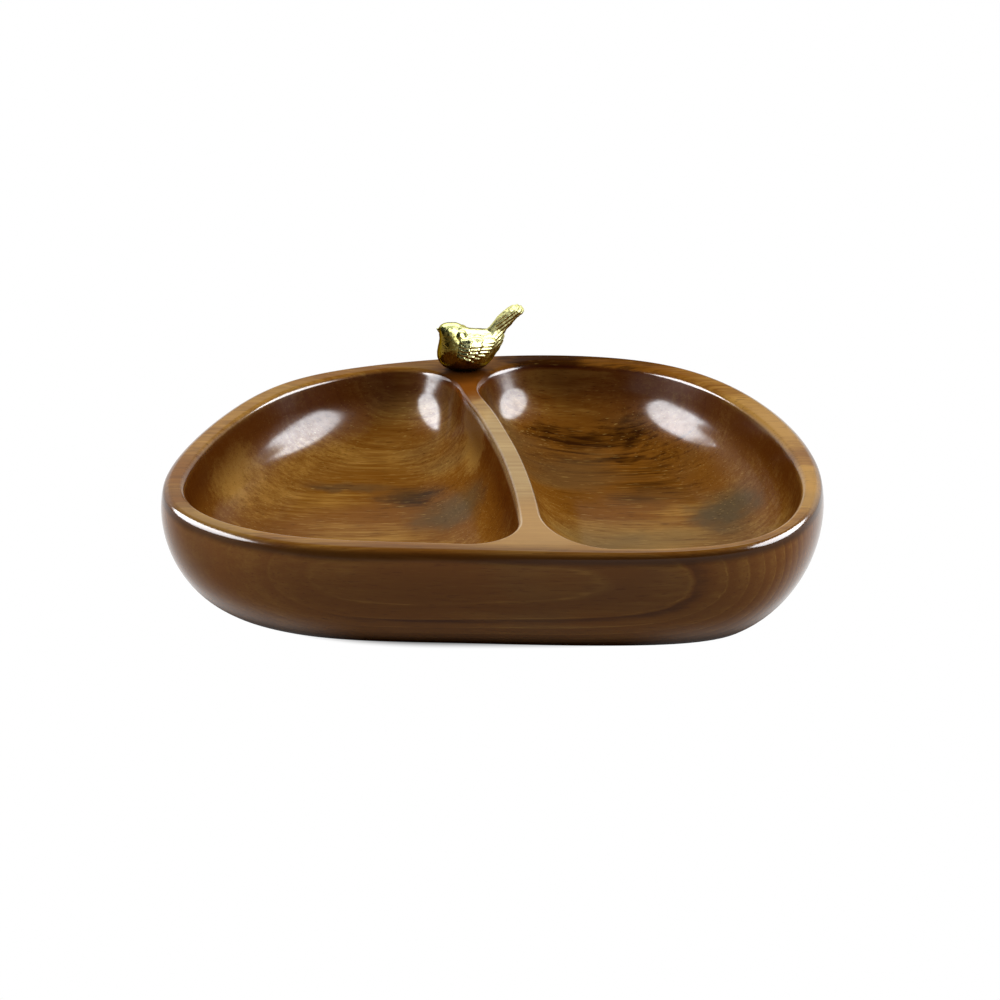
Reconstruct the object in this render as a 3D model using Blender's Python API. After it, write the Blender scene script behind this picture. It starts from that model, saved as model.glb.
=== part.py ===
"""Wooden snack dish: one carved block with two pockets, and a small cast bird that perches on its rim.

Metres, +Z up. The dish stands on z = 0, X runs along its length and -Y is the long front side. Seen from
above its outline is a rounded D, and a slim divider curves from the back rim to the front rim.
"""

import math

import bmesh
import bpy
import numpy as np

# Overall size of the carved block
DISH_LENGTH = 0.283
DISH_DEPTH = 0.223
DISH_HEIGHT = 0.052

# Outer wall: an arc about the widest line, which turns under to the foot by the tuck
WIDEST_BELOW_RIM = 0.012
WIDEST_HEIGHT = DISH_HEIGHT - WIDEST_BELOW_RIM
WALL_TUCK = 0.0205
FOOT_FILLET = 0.003
RIM_FILLET = 0.0032

# Rim, from the widest line to a pocket's edge, and divider
RIM_WIDTH = 0.010
DIVIDER_BACK_WIDTH = 0.0068
DIVIDER_FRONT_WIDTH = 0.0086

# Rounding of the pockets' edges: how far it drops, and how wide it is beside the divider
EDGE_DROP = 0.0026
DIVIDER_EDGE = 0.0016

# Pockets
FLOOR_THICKNESS = 0.0165
COVE_RADIUS = 0.032
WALL_DRAFT = math.radians(12)
FLOOR_SLOPE = math.radians(3)

# Plan radius of the pocket corners beside the divider
LEFT_BACK_CORNER = 0.032
LEFT_FRONT_CORNER = 0.024
RIGHT_BACK_CORNER = 0.046
RIGHT_FRONT_CORNER = 0.030

# Bird, from the tip of the beak to the tip of the tail, and its seat on the rim
BIRD_LENGTH = 0.041
BIRD_SETBACK = 0.020
BIRD_OFFSET = 0.003
WING_LENGTH = 0.019
WING_HEIGHT = 0.0095
WING_THICKNESS = 0.0056

# Headless pin that holds the bird, and the gap that it and the bird keep to what they sit in or on
PIN_RADIUS = 0.002
PIN_CHAMFER = 0.0004
PIN_IN_RIM = 0.010
PIN_IN_BIRD = 0.008
SEAT_GAP = 0.0003

# The rounding on both sides of the rim grows with its width: on the inside it is this share of the width, and
# on the outside the wall above the widest line leans in by this share more than it does on a nominal rim
RIM_EDGE_SHARE = 0.28
CROWN_SHARE = 1.35

# The widest line from above, in shares of half the length and half the depth: it starts at the left end and
# runs along the front. The last number is the rim's share of its nominal width there.
OUTLINE_SHARES = [
    (-0.999, -0.360, 1.02),
    (-0.872, -0.717, 0.92),
    (-0.570, -0.920, 0.98),
    (-0.138, -0.977, 0.98),
    (0.350, -0.999, 0.64),
    (0.754, -0.908, 0.64),
    (0.959, -0.559, 0.84),
    (0.994, -0.065, 1.19),
    (0.870, 0.491, 1.48),
    (0.610, 0.875, 1.54),
    (0.221, 1.000, 1.40),
    (-0.251, 0.927, 1.04),
    (-0.646, 0.738, 1.29),
    (-0.874, 0.338, 1.18),
]

# Middle line of the divider from the back wall to the front wall, in the same shares
DIVIDER_SHARES = [
    (-0.145, 1.000),
    (-0.120, 0.780),
    (-0.075, 0.520),
    (-0.031, 0.340),
    (0.003, 0.170),
    (0.034, -0.001),
    (0.061, -0.180),
    (0.082, -0.360),
    (0.098, -0.540),
    (0.110, -0.780),
    (0.114, -1.000),
]

# Middle of each pocket in the same shares
LEFT_MIDDLE_SHARES = (-0.44, -0.10)
RIGHT_MIDDLE_SHARES = (0.50, -0.08)

# How much of the way out each ring of a pocket's floor lies
FLOOR_RING_SHARES = (0.7, 0.38)

# Side view of the bird in shares of its length, from the beak to the tail: for each section its top point, its
# bottom point and half its width. The origin is the middle of the seat, and the bird faces -X.
BIRD_SECTION_SHARES = [
    (-0.314, 0.508, -0.314, 0.501, 0.005),
    (-0.288, 0.529, -0.290, 0.474, 0.024),
    (-0.270, 0.543, -0.288, 0.433, 0.058),
    (-0.227, 0.558, -0.290, 0.388, 0.098),
    (-0.156, 0.561, -0.300, 0.320, 0.132),
    (-0.068, 0.546, -0.318, 0.234, 0.164),
    (0.015, 0.515, -0.318, 0.151, 0.194),
    (0.098, 0.490, -0.280, 0.073, 0.213),
    (0.171, 0.483, -0.198, 0.012, 0.220),
    (0.234, 0.483, -0.073, -0.007, 0.217),
    (0.278, 0.488, 0.088, -0.007, 0.202),
    (0.310, 0.493, 0.240, 0.041, 0.176),
    (0.327, 0.502, 0.362, 0.190, 0.141),
    (0.335, 0.522, 0.446, 0.332, 0.102),
    (0.355, 0.561, 0.460, 0.429, 0.078),
    (0.397, 0.639, 0.496, 0.507, 0.078),
    (0.472, 0.734, 0.572, 0.602, 0.090),
    (0.550, 0.788, 0.645, 0.690, 0.098),
    (0.618, 0.790, 0.682, 0.746, 0.078),
]

# Middle of a wing in shares of the bird's length, and how far the wing's tip hangs
WING_MIDDLE_SHARES = (0.160, 0.165, 0.275)
WING_DROOP = math.radians(8)

# Facets
OUTLINE_SIDES = 96
READINGS_PER_SIDE = 10
POCKET_SIDES = 80
DIVIDER_READINGS = 60
WALL_STEPS = 8
FOOT_STEPS = 2
RIM_STEPS = 4
EDGE_STEPS = 4
COVE_STEPS = 7
HALVINGS = 40
BIRD_RINGS = 34
BIRD_SIDES = 28
WING_RINGS = 12
WING_SIDES = 20
PIN_SIDES = 24


def clear_objects():
    for item in list(bpy.data.objects):
        bpy.data.objects.remove(item, do_unlink=True)


def material(name, colour, roughness, metallic):
    made = bpy.data.materials.new(name)
    made.use_nodes = True
    shader = made.node_tree.nodes["Principled BSDF"]
    shader.inputs["Base Color"].default_value = (*colour, 1.0)
    shader.inputs["Roughness"].default_value = roughness
    shader.inputs["Metallic"].default_value = metallic
    return made


def object_from(bm, name, finish, sharp_angle=math.radians(40)):
    """Turns the faces outward, shades them smooth and places the mesh in the scene under its name."""
    bmesh.ops.recalc_face_normals(bm, faces=bm.faces)
    mesh = bpy.data.meshes.new(name)
    bm.to_mesh(mesh)
    bm.free()
    mesh.shade_smooth()
    mesh.set_sharp_from_angle(angle=sharp_angle)
    mesh.materials.append(finish)
    made = bpy.data.objects.new(name, mesh)
    bpy.context.scene.collection.objects.link(made)
    return made


def boolean(target, tool, operation):
    """Adds or cuts the tool, which is a form that is only there to shape others."""
    step = target.modifiers.new(tool.name, "BOOLEAN")
    step.operation = operation
    step.solver = "EXACT"
    step.object = tool
    tool.hide_render = True
    tool.display_type = "WIRE"


def add_ring(bm, points):
    return [bm.verts.new(point) for point in points]


def join_rings(bm, first, second):
    count = len(first)
    for k in range(count):
        after = (k + 1) % count
        bm.faces.new((first[k], first[after], second[after], second[k]))


def join_all(bm, rings):
    for first, second in zip(rings, rings[1:]):
        join_rings(bm, first, second)


def fan(bm, ring, tip):
    for k in range(len(ring)):
        bm.faces.new((ring[k], ring[(k + 1) % len(ring)], tip))


def spline(points, count, closed=False, guide=2):
    """Cubic spline through the points, read at count even places. Its knots follow the square roots of the
    chords in the first guide columns. A closed line is run on past its ends so that it closes smoothly."""
    points = np.array(points, dtype=float)
    lap = 4 if closed else 0
    if closed:
        points = np.vstack([points[-lap:], points, points[:lap + 1]])
    chords = np.linalg.norm(np.diff(points[:, :guide], axis=0), axis=1)
    knots = np.concatenate([[0.0], np.cumsum(np.sqrt(chords))])
    step = np.diff(knots)
    slope = np.diff(points, axis=0) / step[:, None]
    size = len(points)
    system = np.eye(size)
    bend = np.zeros_like(points)
    for k in range(1, size - 1):
        system[k, k - 1:k + 2] = (step[k - 1], 2 * (step[k - 1] + step[k]), step[k])
        bend[k] = 6 * (slope[k] - slope[k - 1])
    bend = np.linalg.solve(system, bend)
    last = size - 1 - lap
    places = np.linspace(knots[lap], knots[last], count, endpoint=not closed)
    span = np.clip(np.searchsorted(knots, places, side="right") - 1, 0, size - 2)
    ahead = ((places - knots[span]) / step[span])[:, None]
    behind = 1 - ahead
    curl = (behind ** 3 - behind) * bend[span] + (ahead ** 3 - ahead) * bend[span + 1]
    return behind * points[span] + ahead * points[span + 1] + curl * (step[span] ** 2)[:, None] / 6


def left_normals(line, closed):
    """Unit normals to the left of the line's travel."""
    if closed:
        along = np.roll(line, -1, axis=0) - np.roll(line, 1, axis=0)
    else:
        along = np.gradient(line, axis=0)
    along = along / np.linalg.norm(along, axis=1)[:, None]
    return np.stack([-along[:, 1], along[:, 0]], axis=1)


def nearest_on(points, line, closed):
    """For each point its distance to the line, positive on the left of travel, and the place on the line, as
    a share of its readings."""
    ends = np.roll(line, -1, axis=0) if closed else line[1:]
    starts = line if closed else line[:-1]
    along = ends - starts
    reach = points[:, None] - starts
    part = np.clip((reach * along).sum(-1) / (along ** 2).sum(-1), 0, 1)
    away = reach - along * part[..., None]
    distance = np.linalg.norm(away, axis=-1)
    nearest = distance.argmin(axis=1)
    rows = np.arange(len(points))
    across = along[nearest, 0] * away[rows, nearest, 1] - along[nearest, 1] * away[rows, nearest, 0]
    return distance[rows, nearest] * np.sign(across), (nearest + part[rows, nearest]) / len(starts)


class Plan:
    """The dish from above: its widest line, the rim's width along it, and the divider's middle line."""

    def __init__(self):
        half = np.array([DISH_LENGTH, DISH_DEPTH]) / 2
        read = spline(OUTLINE_SHARES, OUTLINE_SIDES * READINGS_PER_SIDE, closed=True)
        corners = read[::READINGS_PER_SIDE, :2]
        low = corners.min(axis=0)
        high = corners.max(axis=0)
        self.outline = (2 * read[:, :2] - low - high) / (high - low) * half
        self.inward = left_normals(self.outline, closed=True)
        self.rim = read[:, 2] * RIM_WIDTH
        self.crown = read[:, 2:] * CROWN_SHARE
        self.divider = spline(np.array(DIVIDER_SHARES) * half, DIVIDER_READINGS)
        self.half = half

    def wall_ring(self, inset, height):
        """Corners of the block's outline at a height, a distance inside its widest line."""
        spread = self.crown if height > WIDEST_HEIGHT else 1
        return (self.outline + self.inward * inset * spread)[::READINGS_PER_SIDE]

    def room(self, points, side, depth, back_corner, front_corner):
        """Positive inside a pocket at a depth. The side is -1 for the left pocket and 1 for the right one. Two
        edges meet in a corner whose radius is the same at every depth."""
        to_wall, place = nearest_on(points, self.outline, closed=True)
        rim = np.interp(place * len(self.rim), np.arange(len(self.rim) + 1), np.append(self.rim, self.rim[0]))
        from_rim = to_wall - rim - pocket_inset(depth, rim * RIM_EDGE_SHARE)
        to_divider, share = nearest_on(points, self.divider, closed=False)
        width = DIVIDER_BACK_WIDTH + (DIVIDER_FRONT_WIDTH - DIVIDER_BACK_WIDTH) * share
        from_divider = to_divider * side - width / 2 - pocket_inset(depth, DIVIDER_EDGE)
        corner = back_corner + (front_corner - back_corner) * share
        short = np.hypot(np.maximum(corner - from_rim, 0), np.maximum(corner - from_divider, 0))
        both_near = (from_rim < corner) & (from_divider < corner)
        return np.where(both_near, corner - short, np.minimum(from_rim, from_divider))

    def pocket_ring(self, side, middle, depth, corners):
        """Edge of a pocket at a depth: rays go out from its middle, and halving finds where each one ends."""
        angles = np.arange(POCKET_SIDES) * math.tau / POCKET_SIDES
        rays = np.stack([np.cos(angles), np.sin(angles)], axis=1)
        near = np.zeros(POCKET_SIDES)
        far = np.full(POCKET_SIDES, self.half.sum())
        for _ in range(HALVINGS):
            halfway = (near + far) / 2
            inside = self.room(middle + rays * halfway[:, None], side, depth, *corners) > 0
            near = np.where(inside, halfway, near)
            far = np.where(inside, far, halfway)
        return middle + rays * near[:, None]

    def seat(self):
        """Middle of the bird's seat, where the divider meets the back rim."""
        line_x = self.divider[:, 0][::-1]
        line_y = self.divider[:, 1][::-1]
        back = self.outline[self.outline[:, 1] > 0]
        back = back[np.argsort(back[:, 0])]
        x = self.divider[0, 0]
        for _ in range(HALVINGS):
            y = np.interp(x, back[:, 0], back[:, 1]) - BIRD_SETBACK
            x = np.interp(y, line_y, line_x) + BIRD_OFFSET
        return x, y


def arc_points(centre, radius, start, end, steps):
    """Points (inset, height) on an arc, by the angle up from the outward direction."""
    angles = [start + (end - start) * k / steps for k in range(steps + 1)]
    return [(centre[0] - radius * math.cos(a), centre[1] + radius * math.sin(a)) for a in angles]


def wall_profile():
    """Section of the outer wall from the foot to the rim, as (inset from the widest line, height). The foot
    and rim fillets are tangent to the wall's arc from inside."""
    radius = (WALL_TUCK ** 2 + WIDEST_HEIGHT ** 2) / (2 * WALL_TUCK)

    def fillet_centre(fillet, height):
        reach = radius - fillet
        rise = height - WIDEST_HEIGHT
        return (radius - math.sqrt(reach ** 2 - rise ** 2), height), math.asin(rise / reach)

    foot, foot_angle = fillet_centre(FOOT_FILLET, FOOT_FILLET)
    rim, rim_angle = fillet_centre(RIM_FILLET, DISH_HEIGHT - RIM_FILLET)
    quarter = math.pi / 2
    points = arc_points(foot, FOOT_FILLET, -quarter, foot_angle, FOOT_STEPS)
    points += arc_points((radius, WIDEST_HEIGHT), radius, foot_angle, rim_angle, WALL_STEPS)[1:]
    points += arc_points(rim, RIM_FILLET, rim_angle, quarter, RIM_STEPS)[1:]
    return points


def pocket_depth():
    return DISH_HEIGHT - FLOOR_THICKNESS


def cove_radius():
    return min(COVE_RADIUS, pocket_depth() - EDGE_DROP)


def pocket_inset(depth, edge):
    """How far inside its edge line a pocket's wall lies at a depth. At the top a part of an ellipse, as wide as
    the edge, rounds it off. Below it the wall is straight, and a cove leads it into the floor."""
    lean = math.tan(WALL_DRAFT)
    turn = np.arccos(np.clip(1 - depth / EDGE_DROP, 0, 1))
    last_turn = np.arctan2(edge, EDGE_DROP * lean)
    shift = EDGE_DROP * (1 - np.cos(last_turn)) * lean - edge * np.sin(last_turn)
    inset = np.where(turn < last_turn, shift + edge * np.sin(turn), depth * lean)
    cove = cove_radius()
    rise = 1 - (pocket_depth() - depth) / cove
    if rise <= math.sin(WALL_DRAFT):
        return inset
    cove_inset = (cove + math.sin(WALL_DRAFT) * (pocket_depth() - cove)) / math.cos(WALL_DRAFT)
    return cove_inset - cove * math.sqrt(1 - rise ** 2)


def pocket_depths():
    """Depths of a pocket's rings from the rim to the floor's edge."""
    quarter = math.pi / 2
    depths = [EDGE_DROP * (1 - math.cos(quarter * k / EDGE_STEPS)) for k in range(EDGE_STEPS + 1)]
    for k in range(COVE_STEPS + 1):
        turn = WALL_DRAFT + (quarter - FLOOR_SLOPE - WALL_DRAFT) * k / COVE_STEPS
        depths.append(pocket_depth() - cove_radius() * (1 - math.sin(turn)))
    return depths


def at_height(ring, height):
    return [(x, y, height) for x, y in ring]


def carve_pocket(bm, plan, side, middle_shares, corners):
    """Adds the skin of one pocket and returns its top ring, which lies in the rim's plane."""
    middle = np.array(middle_shares) * plan.half
    rings = []
    for depth in pocket_depths():
        edge = plan.pocket_ring(side, middle, depth, corners)
        rings.append(add_ring(bm, at_height(edge, DISH_HEIGHT - depth)))
    reach = np.linalg.norm(edge - middle, axis=1).mean()
    fall = math.tan(FLOOR_SLOPE) * reach / 2
    for share in FLOOR_RING_SHARES:
        floor = middle + (edge - middle) * share
        rings.append(add_ring(bm, at_height(floor, DISH_HEIGHT - depth - fall * (1 - share ** 2))))
    join_all(bm, rings)
    fan(bm, rings[-1], bm.verts.new((*middle, DISH_HEIGHT - depth - fall)))
    return rings[0]


def ring_edges(bm, ring):
    return [bm.edges.get((ring[k], ring[(k + 1) % len(ring)])) for k in range(len(ring))]


def make_dish(plan, finish):
    """The block: outer skin, flat underside, two pockets, and the rim's flat top between them."""
    bm = bmesh.new()
    wall = [add_ring(bm, at_height(plan.wall_ring(inset, height), height)) for inset, height in wall_profile()]
    join_all(bm, wall)
    bm.faces.new(wall[0])
    left = carve_pocket(bm, plan, -1, LEFT_MIDDLE_SHARES, (LEFT_BACK_CORNER, LEFT_FRONT_CORNER))
    right = carve_pocket(bm, plan, 1, RIGHT_MIDDLE_SHARES, (RIGHT_BACK_CORNER, RIGHT_FRONT_CORNER))
    borders = ring_edges(bm, wall[-1]) + ring_edges(bm, left) + ring_edges(bm, right)
    bmesh.ops.triangle_fill(bm, use_beauty=True, use_dissolve=False, edges=borders)
    return object_from(bm, "dish_body", finish)


def section_ring(section, sides):
    """Ellipse between a section's top and bottom points, flattened where it would go below the seat."""
    top_x, top_z, bottom_x, bottom_z, half_width = section
    points = []
    for k in range(sides):
        turn = math.tau * k / sides
        lift = (1 + math.cos(turn)) / 2
        x = bottom_x + (top_x - bottom_x) * lift
        z = bottom_z + (top_z - bottom_z) * lift
        points.append((x, half_width * math.sin(turn), max(z, 0)))
    return points


def bird_mesh():
    """Skin of the bird's body, head, beak and raised tail, as sections drawn along it."""
    sections = spline(np.array(BIRD_SECTION_SHARES) * BIRD_LENGTH, BIRD_RINGS, guide=4)
    bm = bmesh.new()
    rings = [add_ring(bm, section_ring(section, BIRD_SIDES)) for section in sections]
    join_all(bm, rings)
    bm.faces.new(rings[0])
    bm.faces.new(rings[-1])
    return bm


def wing_mesh():
    """Two lens-shaped wings, one on each flank, whose tips hang toward the tail."""
    bm = bmesh.new()
    half = np.array([WING_LENGTH, WING_THICKNESS, WING_HEIGHT]) / 2
    x_share, y_share, z_share = WING_MIDDLE_SHARES
    for side in (-1, 1):
        middle = np.array([x_share, y_share * side, z_share]) * BIRD_LENGTH
        rings = []
        for k in range(1, WING_RINGS):
            along = -math.cos(math.pi * k / WING_RINGS)
            swell = math.sin(math.pi * k / WING_RINGS)
            ring = []
            for j in range(WING_SIDES):
                turn = math.tau * j / WING_SIDES
                flat = np.array([along, swell * math.cos(turn), swell * math.sin(turn)]) * half
                x = flat[0] * math.cos(WING_DROOP) + flat[2] * math.sin(WING_DROOP)
                z = flat[2] * math.cos(WING_DROOP) - flat[0] * math.sin(WING_DROOP)
                ring.append(middle + (x, flat[1], z))
            rings.append(add_ring(bm, ring))
        join_all(bm, rings)
        reach = np.array([math.cos(WING_DROOP), 0, -math.sin(WING_DROOP)]) * half[0]
        fan(bm, rings[0], bm.verts.new(middle - reach))
        fan(bm, rings[-1], bm.verts.new(middle + reach))
    return bm


def cylinder(radius, length, name, finish):
    """Upright cylinder whose middle is at its origin."""
    bm = bmesh.new()
    bmesh.ops.create_cone(bm, cap_ends=True, segments=PIN_SIDES, radius1=radius, radius2=radius, depth=length)
    return object_from(bm, name, finish)


def make_bird(seat, finish):
    """The casting: body and wings in one piece, with a flat seat that keeps the gap to the rim."""
    bird = object_from(bird_mesh(), "bird_figurine", finish)
    wings = object_from(wing_mesh(), "wing_forms", finish)
    for piece in (bird, wings):
        piece.location = (*seat, DISH_HEIGHT + SEAT_GAP)
    boolean(bird, wings, "UNION")
    return bird


def make_pin(seat, finish):
    """Headless pin, half in the rim and half in the bird."""
    length = PIN_IN_RIM + SEAT_GAP + PIN_IN_BIRD
    pin = cylinder(PIN_RADIUS, length, "bird_pin", finish)
    pin.location = (*seat, DISH_HEIGHT - PIN_IN_RIM + length / 2)
    ends = pin.modifiers.new("end_chamfers", "BEVEL")
    ends.width = PIN_CHAMFER
    ends.segments = 1
    ends.limit_method = "ANGLE"
    return pin


def pin_bore(seat, finish):
    """Form of both blind holes, a gap larger than the pin all round."""
    length = PIN_IN_RIM + PIN_IN_BIRD + 3 * SEAT_GAP
    bore = cylinder(PIN_RADIUS + SEAT_GAP, length, "pin_bore_form", finish)
    bore.location = (*seat, DISH_HEIGHT - PIN_IN_RIM - SEAT_GAP + length / 2)
    return bore


def main():
    clear_objects()
    walnut = material("walnut", (0.17, 0.065, 0.022), 0.22, 0.0)
    gilt = material("gilt", (0.83, 0.62, 0.22), 0.18, 1.0)
    steel = material("steel", (0.55, 0.55, 0.55), 0.35, 1.0)
    plan = Plan()
    seat = plan.seat()
    dish = make_dish(plan, walnut)
    bird = make_bird(seat, gilt)
    make_pin(seat, steel)
    bore = pin_bore(seat, steel)
    boolean(dish, bore, "DIFFERENCE")
    boolean(bird, bore, "DIFFERENCE")


main()
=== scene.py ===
"""Wooden snack dish with a gilt bird, dressed for the studio.

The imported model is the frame: metres, +Z up, X along the dish, -Y its long front side. The block and the bird
are made again here with a finer skin, and every surface gets its finish from nodes.
"""

import math

import bmesh
import bpy
import numpy as np
from mathutils import Matrix, Vector, noise
from mathutils.bvhtree import BVHTree


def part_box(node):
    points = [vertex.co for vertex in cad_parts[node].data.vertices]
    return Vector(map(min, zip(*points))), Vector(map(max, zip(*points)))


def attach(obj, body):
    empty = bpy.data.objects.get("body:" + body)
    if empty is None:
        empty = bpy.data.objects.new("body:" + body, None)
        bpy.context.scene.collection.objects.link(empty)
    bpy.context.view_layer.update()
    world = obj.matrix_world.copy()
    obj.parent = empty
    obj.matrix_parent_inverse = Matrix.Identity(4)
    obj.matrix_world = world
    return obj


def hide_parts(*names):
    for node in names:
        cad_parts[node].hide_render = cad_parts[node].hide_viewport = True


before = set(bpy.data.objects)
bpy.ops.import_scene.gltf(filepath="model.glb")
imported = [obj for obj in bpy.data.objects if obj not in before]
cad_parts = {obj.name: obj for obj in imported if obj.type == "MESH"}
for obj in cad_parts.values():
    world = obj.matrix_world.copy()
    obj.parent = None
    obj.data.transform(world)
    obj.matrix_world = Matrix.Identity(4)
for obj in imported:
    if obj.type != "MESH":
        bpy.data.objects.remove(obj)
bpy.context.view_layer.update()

# Camera of the photograph: where it stands, how far it looks down, and its lens on a sensor 36 mm wide
CAMERA_PLACE = (0.002694, -0.888652, 0.438472)
CAMERA_TILT = math.radians(25.0)
CAMERA_LENS = 79.2

# Carved block
DISH_LENGTH = 0.283
DISH_DEPTH = 0.223
DISH_HEIGHT = 0.052
WIDEST_HEIGHT = 0.040
WALL_TUCK = 0.0205
FOOT_FILLET = 0.003
RIM_FILLET = 0.0032
RIM_WIDTH = 0.010
DIVIDER_BACK_WIDTH = 0.0068
DIVIDER_FRONT_WIDTH = 0.0086
POCKET_DEPTH = 0.0355
EDGE_DROP = 0.0026
DIVIDER_EDGE = 0.0016
RIM_EDGE_SHARE = 0.28
CROWN_SHARE = 1.35
COVE_RADIUS = 0.032
WALL_DRAFT = math.radians(12)
FLOOR_SLOPE = math.radians(3)
LEFT_CORNERS = (0.032, 0.024)
RIGHT_CORNERS = (0.046, 0.030)
LEFT_MIDDLE_SHARES = (-0.44, -0.10)
RIGHT_MIDDLE_SHARES = (0.50, -0.08)

# The widest line from above, in shares of half the length and half the depth, and the rim's share of its width
OUTLINE_SHARES = [
    (-0.999, -0.360, 1.02),
    (-0.872, -0.717, 0.92),
    (-0.570, -0.920, 0.98),
    (-0.138, -0.977, 0.98),
    (0.350, -0.999, 0.64),
    (0.754, -0.908, 0.64),
    (0.959, -0.559, 0.84),
    (0.994, -0.065, 1.19),
    (0.870, 0.491, 1.48),
    (0.610, 0.875, 1.54),
    (0.221, 1.000, 1.40),
    (-0.251, 0.927, 1.04),
    (-0.646, 0.738, 1.29),
    (-0.874, 0.338, 1.18),
]

# Middle line of the divider from the back wall to the front wall, in the same shares
DIVIDER_SHARES = [
    (-0.145, 1.000),
    (-0.120, 0.780),
    (-0.075, 0.520),
    (-0.031, 0.340),
    (0.003, 0.170),
    (0.034, -0.001),
    (0.061, -0.180),
    (0.082, -0.360),
    (0.098, -0.540),
    (0.110, -0.780),
    (0.114, -1.000),
]

# Fineness of the block's skin
OUTLINE_SIDES = 480
POCKET_SIDES = 360
DIVIDER_READINGS = 120
WALL_STEPS = 20
FOOT_STEPS = 5
RIM_STEPS = 9
EDGE_STEPS = 12
COVE_STEPS = 20
FLOOR_RINGS = 7
FLAT_MARGIN = 0.00015
HALVINGS = 22
CREASE = math.radians(40)


class Wire:
    """A number, colour or direction on its way through a finish; sums on numbers add Math nodes."""

    def __init__(self, finish, socket):
        self.finish = finish
        self.socket = socket

    def math(self, operation, *others, **settings):
        return self.finish.node("ShaderNodeMath", {"operation": operation, **settings}, self, *others)

    def __add__(self, other):
        return self.math("ADD", other)

    def __mul__(self, other):
        return self.math("MULTIPLY", other)

    def __sub__(self, other):
        return self.math("SUBTRACT", other)

    def __truediv__(self, other):
        return self.math("DIVIDE", other)

    def __pow__(self, other):
        return self.math("POWER", other)

    def __rsub__(self, other):
        return self.finish.node("ShaderNodeMath", {"operation": "SUBTRACT"}, other, self)

    __radd__ = __add__
    __rmul__ = __mul__

    def ramp(self, low, high, to_low=0.0, to_high=1.0):
        """Runs smoothly from one value to another as this one goes from low to high."""
        settings = {"interpolation_type": "SMOOTHSTEP"}
        return self.finish.node("ShaderNodeMapRange", settings, self, low, high, to_low, to_high)


class Nodes:
    """A node tree whose values are written as expressions."""

    def __init__(self, tree):
        self.tree = tree

    def node(self, kind, settings, *values, output=0, **named):
        """Adds a node: its settings first, then the values or wires of its sockets, by place or by name."""
        made = self.tree.nodes.new(kind)
        for setting, value in settings.items():
            setattr(made, setting, value)
        sockets = dict(enumerate(values))
        sockets.update({name.replace("_", " "): value for name, value in named.items()})
        for key, value in sockets.items():
            if isinstance(value, Wire):
                self.tree.links.new(value.socket, made.inputs[key])
            else:
                made.inputs[key].default_value = value
        return Wire(self, made.outputs[output])

    def place(self):
        return self.node("ShaderNodeTexCoord", {}, output="Object")

    def parts(self, vector):
        split = self.node("ShaderNodeSeparateXYZ", {}, vector).socket.node
        return [Wire(self, socket) for socket in split.outputs]

    def point(self, x, y, z):
        return self.node("ShaderNodeCombineXYZ", {}, x, y, z)

    def stretched(self, vector, x, y, z):
        return self.node("ShaderNodeVectorMath", {"operation": "MULTIPLY"}, vector, (x, y, z))

    def noise(self, vector, scale, detail=2.0, roughness=0.5, output=0):
        return self.node("ShaderNodeTexNoise", {}, output=output, Vector=vector, Scale=scale, Detail=detail,
                         Roughness=roughness)

    def blend(self, share, first, second):
        """Colour between two others."""
        made = self.tree.nodes.new("ShaderNodeMix")
        made.data_type = "RGBA"
        for key, value in ((0, share), (6, first), (7, second)):
            if isinstance(value, Wire):
                self.tree.links.new(value.socket, made.inputs[key])
            else:
                made.inputs[key].default_value = value if key == 0 else (*value, 1.0)
        return Wire(self, made.outputs[2])

    def attribute(self, name):
        return self.node("ShaderNodeAttribute", {"attribute_name": name}, output="Fac")

    def rays(self):
        """What kind of ray asks: one that the camera sees, straight or through glass, and one from a gloss."""
        camera = self.node("ShaderNodeLightPath", {}, output="Is Camera Ray")
        outputs = camera.socket.node.outputs
        seen = camera.math("MAXIMUM", Wire(self, outputs["Is Transmission Ray"]))
        return seen, Wire(self, outputs["Is Glossy Ray"])


class Finish(Nodes):
    """A material whose shader gets its varying values from expressions."""

    def __init__(self, name, **uniform):
        self.material = bpy.data.materials.new(name)
        self.material.use_nodes = True
        super().__init__(self.material.node_tree)
        self.shader = self.tree.nodes["Principled BSDF"]
        for socket, value in uniform.items():
            self.shader.inputs[socket.replace("_", " ")].default_value = value

    def feed(self, **wires):
        """Links what varies over the surface to the shader."""
        for socket, wire in wires.items():
            self.tree.links.new(wire.socket, self.shader.inputs[socket.replace("_", " ")])
        return self.material

    def bump(self, height, distance, strength=1.0):
        return self.node("ShaderNodeBump", {}, Strength=strength, Distance=distance, Height=height)


def object_from(bm, name, finish):
    """Turns the faces outward, shades them smooth and puts the mesh into the scene."""
    bmesh.ops.recalc_face_normals(bm, faces=bm.faces)
    mesh = bpy.data.meshes.new(name)
    bm.to_mesh(mesh)
    bm.free()
    mesh.shade_smooth()
    mesh.set_sharp_from_angle(angle=CREASE)
    mesh.materials.append(finish)
    made = bpy.data.objects.new(name, mesh)
    bpy.context.scene.collection.objects.link(made)
    return made


def add_ring(bm, points):
    return [bm.verts.new(point) for point in points]


def join_all(bm, rings):
    for first, second in zip(rings, rings[1:]):
        count = len(first)
        for k in range(count):
            after = (k + 1) % count
            bm.faces.new((first[k], first[after], second[after], second[k]))


def fan(bm, ring, tip):
    for k in range(len(ring)):
        bm.faces.new((ring[k], ring[(k + 1) % len(ring)], tip))


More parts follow.
